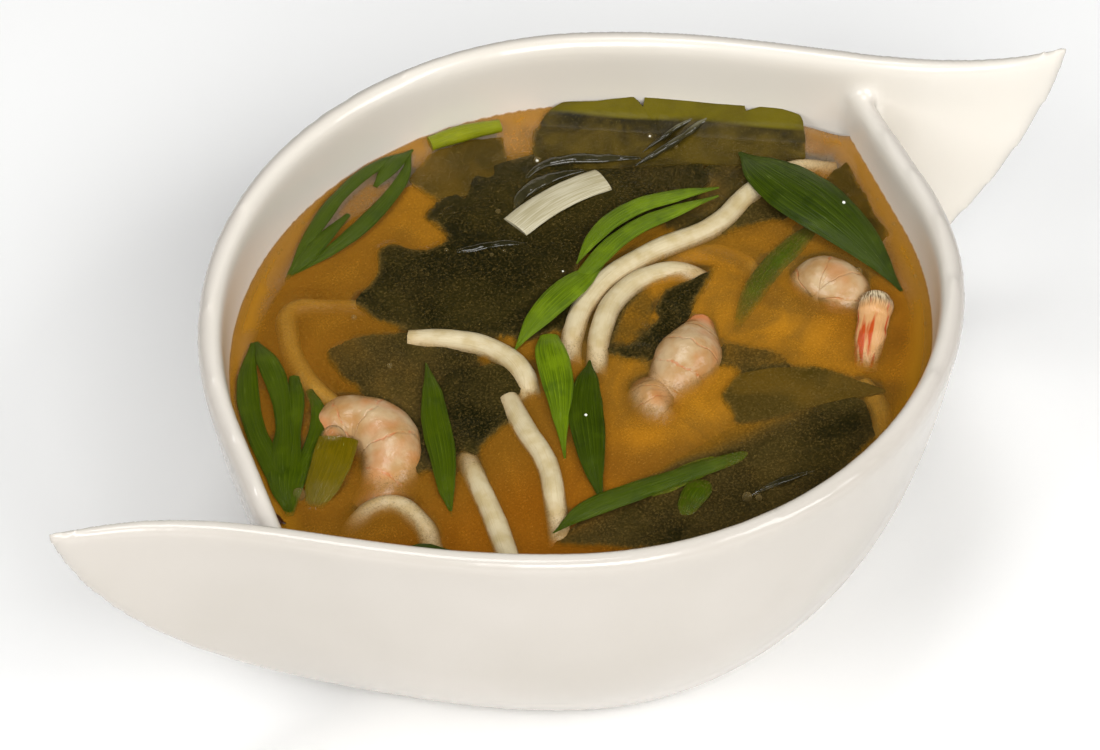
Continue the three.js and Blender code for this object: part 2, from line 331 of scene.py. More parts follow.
# ------------------------------ food forms
def section_curve(width, thick, shape):
    """The cross-section that is swept along a piece's route."""
    deselect()
    bpy.ops.curve.primitive_bezier_circle_add(radius=0.5)
    section = bpy.context.object
    points = section.data.splines[0].bezier_points
    if shape == "square":
        for point in points:
            for handle in ("handle_left", "handle_right"):
                offset = getattr(point, handle) - point.co
                setattr(point, handle, point.co + offset * 1.45)
    if shape == "gutter":
        for point in points:
            if point.co.y < -0.1:
                point.co.y += 0.75
                point.handle_left.y += 0.75
                point.handle_right.y += 0.75
    bpy.ops.transform.resize(value=(width * MM, thick * MM, 1))
    section.data.splines[0].resolution_u = 5
    bpy.ops.object.transform_apply(location=True, rotation=True, scale=True)
    return section


def sweep(name, route, width, thick, shape="round", radii=None, tilts=None, fine=8):
    """A solid of one section along a smooth route, with closed ends."""
    section = section_curve(width, thick, shape)
    deselect()
    bpy.ops.curve.primitive_bezier_curve_add()
    path = bpy.context.object
    spline = path.data.splines[0]
    spline.bezier_points.add(len(route) - 2)
    for i, point in enumerate(spline.bezier_points):
        point.co = at(*route[i])
        point.handle_left_type = "AUTO"
        point.handle_right_type = "AUTO"
        point.radius = radii[i] if radii else 1.0
        point.tilt = math.radians(tilts[i]) if tilts else 0.0
    spline.radius_interpolation = "CARDINAL"
    path.data.bevel_mode = "OBJECT"
    path.data.bevel_object = section
    path.data.use_fill_caps = True
    path.data.twist_mode = "Z_UP"
    path.data.resolution_u = fine
    only(path)
    bpy.ops.object.convert(target="MESH")
    piece = named(bpy.context.object, name)
    bpy.data.objects.remove(section)
    open_mesh(piece)
    bpy.ops.mesh.remove_doubles(threshold=DOUBLED)
    close_mesh()
    return piece


def outline_points(points, count):
    """Even points round a closed line of straight runs through the given ones, its corners just eased."""
    points = [Vector(p) for p in points]
    spans = [(b - a).length for a, b in zip(points, points[1:] + points[:1])]
    total = sum(spans)
    found, k, before = [], 0, 0.0
    for i in range(count):
        goal = total * i / count
        while goal > before + spans[k]:
            before += spans[k]
            k += 1
        found.append(points[k].lerp(points[(k + 1) % len(points)], (goal - before) / spans[k]))
    return [(found[i - 1] + found[i] * 2 + found[(i + 1) % count]) / 4 for i in range(count)]


def sheet_disc(name, centre, outline, height, rag=0.4, fine=120,
        rings=(0.97, 0.9, 0.8, 0.66, 0.5, 0.34, 0.18, 0.05)):
    """A flat leaf out to an uneven outline, in rings about a centre."""
    deselect()
    bpy.ops.mesh.primitive_circle_add(vertices=fine, radius=1, fill_type="NOTHING")
    disc = named(bpy.context.object, name)
    middle = at(centre[0], centre[1], height)
    draw = random.Random(name)
    edge = outline_points([at(x, y, height) for x, y in outline], fine)
    wobble = [draw.uniform(-1, 1) for _ in range(fine)]
    for i, vertex in enumerate(disc.data.vertices):
        push = (wobble[i - 1] + wobble[i] + wobble[(i + 1) % fine]) * rag * MM / 3
        out = (edge[i] - middle).normalized()
        vertex.co = edge[i] + out * push
    open_mesh(disc)
    last = 1.0
    for share in rings:
        bpy.ops.mesh.extrude_region_move()
        bpy.ops.transform.resize(value=(share / last,) * 3, center_override=middle)
        last = share
    bpy.ops.mesh.edge_face_add()
    close_mesh()
    return disc


def leaf(name, centre, outline, height, thick=0.5, ripple=1.0, size=9, lift=None, **shape):
    """A leaf of wakame, rumpled, with its thickness."""
    sheet = sheet_disc(name, centre, outline, height, **shape)
    rumple(sheet, ripple * MM, size * MM, "Z")
    if lift:
        for vertex in sheet.data.vertices:
            vertex.co.z += lift(vertex.co.x / MM, vertex.co.y / MM) * MM
    modify(sheet, "SOLIDIFY", thickness=thick * MM, offset=0)
    return smooth(sheet, 60)


# ------------------------------ materials
def srgb(r, g, b):
    """A colour as it looks, turned to linear light."""
    def linear(c):
        c = c / 255
        return c / 12.92 if c <= 0.04045 else ((c + 0.055) / 1.055) ** 2.4
    return (linear(r), linear(g), linear(b), 1.0)


class Finish:
    """A procedural material being built: short names for its nodes and links."""

    def __init__(self, name, roughness=0.4, ior=1.45, **sockets):
        self.material = bpy.data.materials.new(name)
        self.material.use_nodes = True
        self.tree = self.material.node_tree
        self.shader = self.tree.nodes["Principled BSDF"]
        self.shader.inputs["Roughness"].default_value = roughness
        self.shader.inputs["IOR"].default_value = ior
        for key, value in sockets.items():
            self.shader.inputs[key.replace("_", " ")].default_value = value
        self.place = self.tree.nodes.new("ShaderNodeTexCoord")

    def link(self, a, b):
        self.tree.links.new(a, b)

    def add(self, kind, **settings):
        node = self.tree.nodes.new("ShaderNode" + kind)
        for key, value in settings.items():
            setattr(node, key, value)
        return node

    def coords(self, scale=(1, 1, 1), source="Object"):
        node = self.add("Mapping")
        node.inputs["Scale"].default_value = scale
        self.link(self.place.outputs[source], node.inputs["Vector"])
        return node.outputs["Vector"]

    def noise(self, size, detail=3, rough=0.5, stretch=(1, 1, 1), source="Object", warp=0.0):
        """Soft noise whose features are about `size` millimetres."""
        node = self.add("TexNoise")
        node.inputs["Scale"].default_value = 1 / (size * MM) if source == "Object" else 1 / size
        node.inputs["Detail"].default_value = detail
        node.inputs["Roughness"].default_value = rough
        node.inputs["Distortion"].default_value = warp
        self.link(self.coords(stretch, source), node.inputs["Vector"])
        return node.outputs["Fac"]

    def math(self, kind, a, b=0.5, clamp=False):
        node = self.add("Math", operation=kind, use_clamp=clamp)
        for socket, value in zip(node.inputs, (a, b)):
            if isinstance(value, (int, float)):
                socket.default_value = value
            else:
                self.link(value, socket)
        return node.outputs[0]

    def times(self, a, b):
        return self.math("MULTIPLY", a, b)

    def spread(self, value, low, high, to_low=0.0, to_high=1.0, soft=True):
        node = self.add("MapRange", interpolation_type="SMOOTHSTEP" if soft else "LINEAR")
        for key, number in (("From Min", low), ("From Max", high), ("To Min", to_low), ("To Max", to_high)):
            node.inputs[key].default_value = number
        self.link(value, node.inputs["Value"])
        return node.outputs["Result"]

    def blend(self, share, a, b):
        node = self.add("Mix", data_type="RGBA")
        for index, value in ((0, share), (6, a), (7, b)):
            if isinstance(value, (int, float, tuple)):
                node.inputs[index].default_value = value
            else:
                self.link(value, node.inputs[index])
        return node.outputs[2]

    def axis(self, letter, source="Object"):
        node = self.add("SeparateXYZ")
        self.link(self.place.outputs[source], node.inputs[0])
        return node.outputs[letter]

    def bump(self, height, distance, strength=1.0):
        node = self.add("Bump")
        node.inputs["Strength"].default_value = strength
        node.inputs["Distance"].default_value = distance * MM
        self.link(height, node.inputs["Height"])
        self.link(node.outputs["Normal"], self.shader.inputs["Normal"])

    def soaked(self, colour, depth=7.0, most=0.92, tint=None, start=-0.2):
        """The colour fades to the broth's the deeper it lies."""
        deep = self.spread(
            self.axis("Z"), LEVEL - depth * MM, LEVEL + start * MM, most, 0.0, soft=False
        )
        return self.blend(deep, colour, tint or BROTH_TINT)

    def colour(self, socket):
        self.link(socket, self.shader.inputs["Base Color"])
        return self

    def rough(self, socket):
        self.link(socket, self.shader.inputs["Roughness"])
        return self


BROTH_TINT = srgb(150, 100, 26)


def porcelain_glaze():
    f = Finish("porcelain_glaze", roughness=0.16, ior=1.5)
    cloud = f.spread(f.noise(40, detail=2), 0.3, 0.7)
    # painted light and shade: one glaze, painted darker on the outer wall and lighter on the inner wall, to
    # set how bright each wall looks
    outside_painted_shade = f.blend(cloud, srgb(206, 199, 190), srgb(200, 193, 183))
    inside = f.blend(cloud, srgb(232, 226, 215), srgb(228, 221, 209))
    f.colour(f.blend(f.add("Attribute", attribute_name="inner_painted_light").outputs["Fac"], outside_painted_shade, inside))
    f.rough(f.spread(f.noise(12, detail=4), 0.2, 0.8, 0.13, 0.2))
    f.bump(f.noise(9, detail=1), 0.03)
    return f.material


def broth_surface():
    """The broth's skin: clear where something lies close under it, cloudy where it is deep."""
    f = Finish("broth_surface", roughness=0.05, ior=1.38)
    depth = f.add("Attribute", attribute_name="cloudiness").outputs["Fac"]
    grain = f.noise(0.42, detail=2, rough=0.75)
    cloud = f.noise(13, detail=4, warp=0.7)
    half_way = f.times(depth, f.math("SUBTRACT", 1.0, depth))
    speck = f.times(f.math("SUBTRACT", grain, 0.5), f.times(half_way, 1.7))
    uneven = f.times(f.math("SUBTRACT", cloud, 0.5), f.times(half_way, 1.6))
    veil = f.math("ADD", f.times(depth, 0.9), f.math("ADD", speck, uneven))
    off_wall = f.add("Attribute", attribute_name="off_wall").outputs["Fac"]
    dust = f.times(f.spread(grain, 0.5, 0.74, 0.0, 0.24), off_wall)
    veil = f.blend(off_wall, f.times(depth, 0.95), veil)
    f.link(f.math("ADD", f.math("MAXIMUM", veil, 0.0), dust, clamp=True), f.shader.inputs["Alpha"])
    right = f.spread(f.axis("X"), -32 * MM, 12 * MM)
    front = f.spread(f.axis("Y"), -28 * MM, -12 * MM, 1.0, 0.0)
    patch = f.spread(cloud, 0.36, 0.64)
    amber = f.blend(patch, srgb(170, 102, 18), srgb(152, 88, 12))
    amber = f.blend(f.times(front, 0.7), srgb(146, 98, 26), amber)
    tan = f.blend(patch, srgb(190, 130, 32), srgb(144, 102, 34))
    right = f.times(right, f.spread(f.axis("X"), 26 * MM, 52 * MM, 1.0, 0.3))
    colour = f.blend(right, amber, tan)
    colour = f.blend(f.spread(depth, 0.0, 0.5, 0.7, 0.0), colour, srgb(168, 122, 34))
    colour = f.blend(f.spread(grain, 0.6, 0.8, 0.0, 0.3), colour, srgb(184, 148, 84))
    colour = f.blend(f.spread(depth, 0.05, 0.3, 0.75, 0.0), colour, srgb(126, 110, 64))
    colour = f.blend(f.spread(grain, 0.25, 0.45, 0.25, 0.0), colour, srgb(104, 70, 16))
    f.colour(f.blend(off_wall, srgb(178, 124, 30), colour))
    f.bump(f.noise(14, detail=2), 0.25, 0.6)
    return f.material


def broth_depth():
    """The cloudy body under what floats."""
    f = Finish("broth_depth", roughness=0.5, ior=1.33)
    cloud = f.spread(f.noise(22, detail=4, warp=0.8), 0.36, 0.64)
    right = f.spread(f.axis("X"), -25 * MM, 25 * MM)
    amber = f.blend(cloud, srgb(196, 124, 26), srgb(176, 108, 22))
    tan = f.blend(cloud, srgb(206, 150, 50), srgb(186, 132, 42))
    f.colour(f.blend(right, amber, tan))
    return f.material


def noodle_dough(name, pale, deep):
    f = Finish(name, roughness=0.28, ior=1.42)
    length = f.noise(0.05, detail=3, stretch=(0.25, 3, 1), source="UV")
    mottle = f.noise(3, detail=3)
    colour = f.blend(f.spread(mottle, 0.35, 0.7), pale, deep)
    colour = f.blend(f.spread(length, 0.52, 0.7, 0.0, 0.3), colour, srgb(188, 162, 112))
    f.colour(f.soaked(colour, depth=2.6, most=0.9, tint=srgb(184, 126, 40), start=0.9))
    f.bump(f.math("ADD", length, f.times(mottle, 0.5)), 0.12)
    return f.material


def leek_white():
    f = Finish("leek_white", roughness=0.3, ior=1.42)
    ribs = f.noise(0.06, detail=2, stretch=(0.15, 4, 1), source="UV")
    colour = f.blend(f.spread(ribs, 0.4, 0.6), srgb(194, 186, 158), srgb(168, 158, 124))
    f.colour(f.soaked(colour, depth=3, most=0.5))
    f.bump(ribs, 0.06)
    return f.material


def onion_green(name, pale, deep, rough=0.3, fade=6.0):
    """Green onion: lengthways veins and blotches, with pale glints along the veins as a painted highlight.
    """
    f = Finish(name, roughness=rough, ior=1.27)
    veins = f.noise(0.045, detail=3, stretch=(0.12, 5, 1), source="UV")
    patch = f.noise(4.5, detail=3)
    colour = f.blend(f.spread(veins, 0.34, 0.68, 0.15, 0.8), deep, pale)
    colour = f.blend(f.spread(patch, 0.52, 0.72, 0.0, 0.5), colour, pale)
    colour = f.blend(f.spread(patch, 0.28, 0.42, 0.5, 0.0), colour, deep)
    # painted highlight: pale glints along the veins stand in for wet shine
    painted_glint = f.times(f.spread(veins, 0.62, 0.74), f.spread(f.noise(1.6, detail=3), 0.5, 0.66))
    colour = f.blend(f.times(painted_glint, 0.55), colour, srgb(188, 204, 120))
    f.colour(f.soaked(colour, depth=fade, most=0.9))
    f.bump(veins, 0.14)
    return f.material


def wakame_leaf(name, deep, pale, rim, fade=9.0, rough=0.36, gloss=1.2):
    f = Finish(name, roughness=rough, ior=gloss)
    patch = f.spread(f.noise(11, detail=5, warp=0.7), 0.36, 0.68)
    fine = f.spread(f.noise(0.45, detail=2, rough=0.75), 0.52, 0.8)
    colour = f.blend(patch, srgb(*deep), srgb(*pale))
    colour = f.blend(f.times(fine, 0.3), colour, srgb(104, 92, 48))
    # lighter rim colour where the leaf stands up out of the broth; on the ridges it is a painted silvery
    # highlight
    lifted = f.spread(f.axis("Z"), LEVEL + 1.45 * MM, LEVEL + 1.9 * MM)
    lifted = f.times(lifted, f.spread(patch, 0.0, 1.0, 1.0, 0.45))
    colour = f.blend(lifted, colour, srgb(*rim))
    f.colour(f.soaked(colour, depth=fade, most=0.75, tint=srgb(118, 80, 22)))
    f.bump(f.noise(2.5, detail=4), 0.3, 0.7)
    return f.material


def shrimp_flesh():
    """Pale flesh with orange bands across it, where the segments meet."""
    f = Finish("shrimp_flesh", roughness=0.26, ior=1.42)
    waver = f.times(f.math("SUBTRACT", f.noise(3, detail=3), 0.5), 0.09)
    length = f.math("ADD", f.axis("X", "UV"), waver)
    wave = f.math("ABSOLUTE", f.math("SINE", f.times(length, 15.7)))
    band = f.spread(wave, 0.0, 0.2, 1.0, 0.0)
    broken = f.spread(f.noise(1.6, detail=4, rough=0.65), 0.42, 0.62)
    flesh = f.blend(f.spread(f.noise(5, detail=3), 0.35, 0.65), srgb(192, 164, 124), srgb(174, 134, 84))
    blush = f.blend(f.spread(f.noise(7, detail=2), 0.48, 0.7, 0.0, 0.4), flesh, srgb(190, 112, 56))
    colour = f.blend(f.times(f.times(band, broken), 0.5), blush, srgb(192, 90, 40))
    ends = f.times(f.math("ABSOLUTE", f.math("SUBTRACT", length, 0.5)), 2.0)
    colour = f.blend(f.spread(ends, 0.62, 0.95, 0.0, 0.7), colour, srgb(212, 112, 56))
    f.colour(f.soaked(colour, depth=3.6, most=0.9, tint=srgb(184, 120, 44), start=1.2))
    f.bump(f.math("ADD", f.noise(1.3, detail=4), f.times(band, -0.5)), 0.16)
    return f.material


def shrimp_tail_shell():
    f = Finish("shrimp_tail_shell", roughness=0.22, ior=1.48)
    ribs = f.noise(0.05, detail=3, stretch=(0.2, 4, 1), source="UV")
    streak = f.spread(f.noise(0.16, detail=2, stretch=(0.3, 1.5, 1), source="UV"), 0.5, 0.6)
    colour = f.blend(streak, srgb(214, 162, 106), srgb(194, 78, 30))
    shell_end = f.spread(f.math("ADD", f.axis("X", "UV"), f.times(ribs, 0.2)), 0.28, 0.46,
        1.0, 0.0)
    colour = f.blend(shell_end, colour, f.blend(f.spread(ribs, 0.44, 0.56), srgb(120, 92, 56),
        srgb(226, 206, 168)))
    f.colour(f.soaked(colour, depth=6, most=0.9, tint=srgb(186, 110, 34)))
    f.bump(ribs, 0.2)
    return f.material


def bubble_film():
    f = Finish("bubble_film", roughness=0.03, ior=1.7)
    edge = f.add("LayerWeight")
    edge.inputs["Blend"].default_value = 0.35
    # painted shade: the bubble darkens to a dark ring toward its edge as the camera sees it
    f.colour(f.blend(edge.outputs["Facing"], srgb(196, 170, 110), srgb(56, 40, 14)))
    f.link(f.spread(edge.outputs["Facing"], 0.1, 0.9, 0.1, 0.8), f.shader.inputs["Alpha"])
    return f.material


# ------------------------------ assembly helpers
def wear(piece, material):
    piece.data.materials.clear()
    piece.data.materials.append(material)
    return piece


SERVED = []


def serve(piece, material, slot, *nodes):
    """A finished piece joins the object: its finish, its body and what it stands for; the slot argument is
    not used.
    """
    wear(piece, material)
    SERVED.append(piece)
    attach(piece, "root")
    if nodes:
        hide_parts(*nodes)
    return piece


# ------------------------------ the floor, the light and the camera
def studio():
    deselect()
    bpy.ops.mesh.primitive_plane_add(size=6, location=(0, 0, -0.2 * MM))
    floor = named(settle(bpy.context.object), "floor")
    paper = Finish("pale_floor", roughness=0.9)
    tone = paper.blend(paper.spread(paper.noise(400), 0.3, 0.7), srgb(252, 252, 251), srgb(250, 250, 249))
    paper.colour(tone)
    wear(floor, paper.material)

    def area(name, place, size, power):
        deselect()
        bpy.ops.object.light_add(type="AREA", location=place)
        lamp = bpy.context.object
        lamp.name = name
        lamp.data.size = size
        lamp.data.energy = power
        aim = Vector((0, 0, 0.04)) - lamp.location
        lamp.rotation_euler = aim.to_track_quat("-Z", "Y").to_euler()
        return lamp

    area("key_light", (0.5, -0.9, 0.95), 0.6, 7)
    area("left_light", (-1.1, -0.1, 0.9), 0.6, 6.5)
    area("front_light", (-0.42, -0.95, 0.95), 0.7, 12)
    area("top_light", (-0.1, 0.25, 1.5), 0.6, 7.5)
    bpy.context.scene.world = studio_air()
    bpy.context.scene.view_settings.view_transform = "Standard"


def studio_air():
    """Even white air, but dark high up beyond the bowl, where the broth's mirror looks."""
    world = bpy.data.worlds.new("studio_air")
    world.use_nodes = True
    tree = world.node_tree
    place = tree.nodes.new("ShaderNodeTexCoord")
    toward = tree.nodes.new("ShaderNodeVectorMath")
    toward.operation = "DOT_PRODUCT"
    toward.inputs[1].default_value = (0.404, 0.558, 0.725)
    tree.links.new(place.outputs["Generated"], toward.inputs[0])
    dark = tree.nodes.new("ShaderNodeMapRange")
    dark.interpolation_type = "SMOOTHSTEP"
    dark.inputs["From Min"].default_value = 0.35
    dark.inputs["From Max"].default_value = 0.9
    dark.inputs["To Min"].default_value = 0.37
    dark.inputs["To Max"].default_value = 0.03
    tree.links.new(toward.outputs["Value"], dark.inputs["Value"])
    tree.links.new(dark.outputs["Result"], tree.nodes["Background"].inputs["Strength"])
    return world


def camera():
    """A long lens looking down across the bowl, with one wing near and the other far."""
    azimuth = math.radians(-35.88)
    elevation = math.radians(45.63)
    pitch = math.radians(0.8165)
    distance = 846.3 * MM
    aside, beyond = -5.82 * MM, -5.38 * MM
    ahead = Vector((math.sin(-azimuth), math.cos(-azimuth), 0))
    right = Vector((ahead.y, -ahead.x, 0))
    aim = right * aside + ahead * beyond + Vector((0, 0, 63.9 * MM))
    place = aim - distance * (ahead * math.cos(elevation) - Vector((0, 0, math.sin(elevation))))
    down = elevation + pitch
    look = ahead * math.cos(down) - Vector((0, 0, math.sin(down)))
    bpy.ops.object.camera_add(location=place)
    eye = bpy.context.object
    eye.name = "camera"
    eye.rotation_euler = look.to_track_quat("-Z", "Y").to_euler()
    eye.data.lens = 156.2
    eye.data.sensor_width = 36
    eye.data.clip_start = 0.05
    eye.data.clip_end = 20
    bpy.context.scene.camera = eye


# ------------------------------ the pieces
camera()
studio()

PORCELAIN = porcelain_glaze()
NOODLE = noodle_dough("noodle_dough", srgb(206, 191, 154), srgb(190, 171, 126))
SUNK_NOODLE = noodle_dough("noodle_sunk", srgb(214, 168, 70), srgb(196, 148, 54))
WAKAME = wakame_leaf("wakame_dark", (17, 18, 3), (40, 35, 8), (88, 78, 8))
BACK_WAKAME = wakame_leaf("wakame_back_leaf", (32, 27, 6), (82, 67, 16), (98, 88, 10))
THIN_WAKAME = wakame_leaf("wakame_thin", (58, 46, 7), (86, 64, 10), (104, 90, 16))
DARK_SCRAP = wakame_leaf("wakame_dried", (34, 16, 6), (56, 28, 10), (44, 22, 8), rough=0.2, gloss=1.4)
# the ridges' grey tones are partly the leaf's own colour and partly a painted silvery sheen
RIDGE_PAINTED_SHEEN = wakame_leaf("wakame_ridge_painted_sheen", (30, 28, 12), (58, 54, 34), (112, 108, 84), rough=0.1, gloss=1.45)
BRIGHT_ONION = onion_green("onion_bright", srgb(118, 142, 14), srgb(56, 78, 4))
YELLOW_ONION = onion_green("onion_yellow", srgb(142, 146, 10), srgb(104, 112, 5))
ONION = onion_green("onion_mid", srgb(78, 94, 6), srgb(44, 60, 2))
DARK_ONION = onion_green("onion_dark", srgb(66, 82, 6), srgb(33, 47, 2))
FLESH = shrimp_flesh()

bowl = serve(make_bowl(), PORCELAIN, "porcelain", "bowl")


def noodle(name, route, *nodes, width=4.1, wobble=0.35, dough=NOODLE):
    route = [(x, y, height - 0.5) for x, y, height in route]
    piece = sweep(name, route, width, width * 0.94, shape="square", fine=7)
    rumple(piece, wobble * MM, 5 * MM)
    modify(piece, "BEVEL", width=0.5 * MM, segments=2, limit_method="ANGLE", angle_limit=math.radians(50))
    smooth(piece, 40)
    return serve(piece, dough, "noodle", *nodes)


noodle("noodle_a", [(-24.5, 19.5, -0.9), (-19, 14.5, 0.1), (-14, 7.5, 0.3), (-13, 0.5, 0),
    (-15, -5, -1.4)], "noodle_left")
noodle("noodle_b", [(-18.5, -3, -0.9), (-21, -12, 0.2), (-22.5, -20, 0.1), (-27, -29, -0.6),
    (-31, -36, -2.5)], "noodle_front")
noodle("noodle_c", [(-32, -9, -2.6), (-35, -17, -0.4), (-37.5, -25, 0), (-41, -35, -0.4)],
    "noodle_front_left")
noodle("noodle_d", [(-60, -12, -4.4), (-56, -10.5, -2.4), (-50, -11, -1.4), (-48, -18, -1.3),
    (-50, -25, -2.2)], "noodle_sunk_left")
noodle("noodle_e", [(66, 10, -2.4), (59, 14, -1.2), (48, 13, -0.2), (38, 10, 0.1), (22, 11, 0.3),
    (9, 9, 0.1), (0, 3, -0.7), (-4, -2, -1.9)], "noodle_long")
noodle("noodle_f", [(29, 0.5, -2.4), (26, 4.5, -1.0), (20, 6.5, 0), (12, 5.5, 0.2), (4.5, 0.5, -0.1),
    (-2, -7, -1.9)], "noodle_arch")
noodle("noodle_sunk_a", [(-24, 31, -3.2), (-31, 36, -2.8), (-37, 39, -2.6), (-41, 34, -2.6),
    (-44, 25, -2.6), (-44, 16, -2.5), (-42, 9, -3.2)], wobble=0.3, dough=SUNK_NOODLE)
noodle("noodle_sunk_b", [(26, 9, -3.8), (32, 8.5, -3.4), (37, 4, -3.4), (38, -2, -3.4), (36.5, -8, -4.2)],
       dough=SUNK_NOODLE)
noodle("noodle_sunk_c", [(36, -36, -2.8), (34.5, -43, -2.4), (29, -50, -3.0)], dough=SUNK_NOODLE)


def onion_blade(name, route, width, thick, radii, tilts=None, shape="gutter"):
    blade = sweep(name, route, width, thick, shape=shape, radii=radii, tilts=tilts, fine=9)
    rumple(blade, 0.3 * MM, 3.5 * MM)
    return smooth(blade, 60)


def onion(finish, *form, node=None, **shape):
    """A blade of onion that is served on its own."""
    nodes = [node] if node else []
    return serve(onion_blade(*form, **shape), finish, "green_onion", *nodes)


ALMOND = (0.06, 0.62, 1.0, 0.95, 0.55, 0.05)

onion(DARK_ONION, "onion_front", [(-2, -5, 0.5), (-5, -8.5, 0.8), (-9.5, -14, 1), (-13.5, -20.5, 0.9),
    (-17.5, -27.5, 0.7), (-20.5, -34, 0.2)], 5.6, 1.7, ALMOND, node="onion_cut_front")
onion(ONION, "onion_left", [(-26, 12, 0.2), (-29, 6, 0.7), (-33, -1, 0.9), (-37, -9, 0.8),
    (-41, -16, 0.6), (-43.5, -21, 0.1)], 4.6, 1.6, ALMOND, node="onion_cut_left")
onion(BRIGHT_ONION, "onion_middle", [(-4.5, 4, 0.7), (-6.5, 1, 1.3), (-9, -4, 1.5), (-12, -9.5, 1.3),
    (-15.5, -15, 0.8), (-19.5, -21.5, 0.3)], 5.6, 2.2, (0.55, 0.9, 1.0, 0.8, 0.4, 0.05),
    node="onion_cut_middle")
onion(DARK_ONION, "onion_right", [(52.5, 22, 0.6), (52.5, 16, 1.3), (53.5, 8, 1.7), (55, -2, 1.7),
    (55.5, -13, 1.2), (54.5, -24, 0.2)], 11, 2.6, ALMOND, node="onion_cut_right")

blades = [
    onion_blade("blade_a", [(43.5, 16.5, 0.9), (36, 18.5, 1.6), (26, 20.5, 1.9), (17, 19, 1.7),
        (10, 15.5, 1.3)], 3.6, 1.6, (0.1, 0.75, 1.0, 0.8, 0.1)),
    onion_blade("blade_b", [(42, 14.8, 0.9), (33, 15.5, 1.7), (22, 15.8, 2.0), (12, 13.2, 1.8),
        (3, 10.5, 1.2)], 3.4, 1.8, (0.1, 0.8, 1.0, 0.9, 0.15)),
    onion_blade("blade_c", [(14, 13, 1.0), (8, 11.5, 1.6), (2, 10, 1.7), (-5, 7.8, 1.2),
        (-11.5, 5, 0.4)], 5.2, 1.8, (0.2, 0.85, 1.0, 0.7, 0.05)),
]
serve(joined(blades, "onion_strip"), BRIGHT_ONION, "green_onion", "onion_strip_middle")

onion(ONION, "onion_front_strip", [(-31.5, -34.5, 0.2), (-25, -34, 0.7), (-17, -35, 0.7),
    (-8, -36.5, 0.4), (2, -38, -0.2), (14, -40, -1.4)], 4.2, 1.5, (0.05, 0.8, 1, 0.85, 0.7, 0.2),
    node="onion_strip_front")
onion(DARK_ONION, "onion_chip", [(-55.5, -22, 0.2), (-52, -25, 0.7), (-48, -27.5, 0.2)], 2.6, 1.2,
    (0.1, 1, 0.1), node="onion_chip_front")
onion(YELLOW_ONION, "onion_tube", [(7, 58, 0.4), (13, 56.6, 0.8), (20.5, 54.3, 0.4)], 3.6, 2.6,
    (0.9, 1, 0.8), shape="round", node="onion_tube_back")

back_loop = [
    onion_blade("loop_a", [(2.5, 58, 0.8), (-5, 58.2, 1.1), (-14, 56, 1.1), (-24, 51, 0.8),
        (-34.5, 44.5, 0.2)], 2.6, 1.5, (0.3, 0.9, 1, 1, 0.1)),
    onion_blade("loop_b", [(2.5, 58, 0.8), (-2, 53.4, 0.9), (-9, 49.6, 0.8), (-20, 46, 0.6),
        (-34.5, 44.3, 0.1)], 2.6, 1.4, (0.2, 0.8, 1.1, 1.1, 0.1)),
    onion_blade("loop_g", [(-34.8, 44.2, 0), (-29, 46.2, 0.5), (-23, 48.6, 0.7), (-16, 51.4, 0.3)], 3.0,
        1.5, (0.1, 0.9, 0.9, 0.3)),
    onion_blade("loop_h", [(3.2, 58.2, 0.8), (-1, 57, 1.1), (-4.5, 55.8, 1.0), (-8, 54.4, 0.5)], 3.0,
        1.5, (0.15, 0.9, 0.9, 0.3)),
]
serve(joined(back_loop, "onion_loop_a"), ONION, "green_onion", "onion_loop_back")

fan = [
    onion_blade("fan_a", [(-48.5, 34, 0.4), (-55, 26, 0.7), (-60, 16, 0.6), (-62.5, 7, 0.5),
        (-66, -3, 0.2)], 3.6, 1.5, (0.3, 1, 0.95, 0.95, 0.3)),
    onion_blade("fan_b", [(-48, 34, 0.4), (-49.3, 28, 0.8), (-52, 20, 0.8), (-56, 13, 0.7),
        (-61, 6, 0.5), (-65.8, -3.5, 0.2)], 3.4, 1.6, (0.3, 1.1, 1, 0.8, 1.2, 0.3)),
    onion_blade("fan_c", [(-47, 23, 0.1), (-50, 18, 0.5), (-55, 11, 0.5), (-60, 4.5, 0.5),
        (-65.6, -3.6, 0.2)], 2.9, 1.4, (0.6, 1, 0.75, 1.1, 0.3)),
    onion_blade("fan_d", [(-46.5, 19, -0.5), (-48, 14, 0), (-53, 8, 0.1), (-59, 3, 0.2),
        (-65.4, -3.8, 0)], 2.6, 1.3, (0.5, 0.9, 1, 1.1, 0.3)),
    onion_blade("fan_e", [(-57, 10, 0.3), (-60, 6, 0.5), (-63, 2, 0.5), (-66.2, -4.4, 0.1)], 5.6, 1.4,
        (0.3, 1, 0.95, 0.2)),
]
serve(joined(fan, "onion_fan"), ONION, "green_onion", "onion_loop_left")

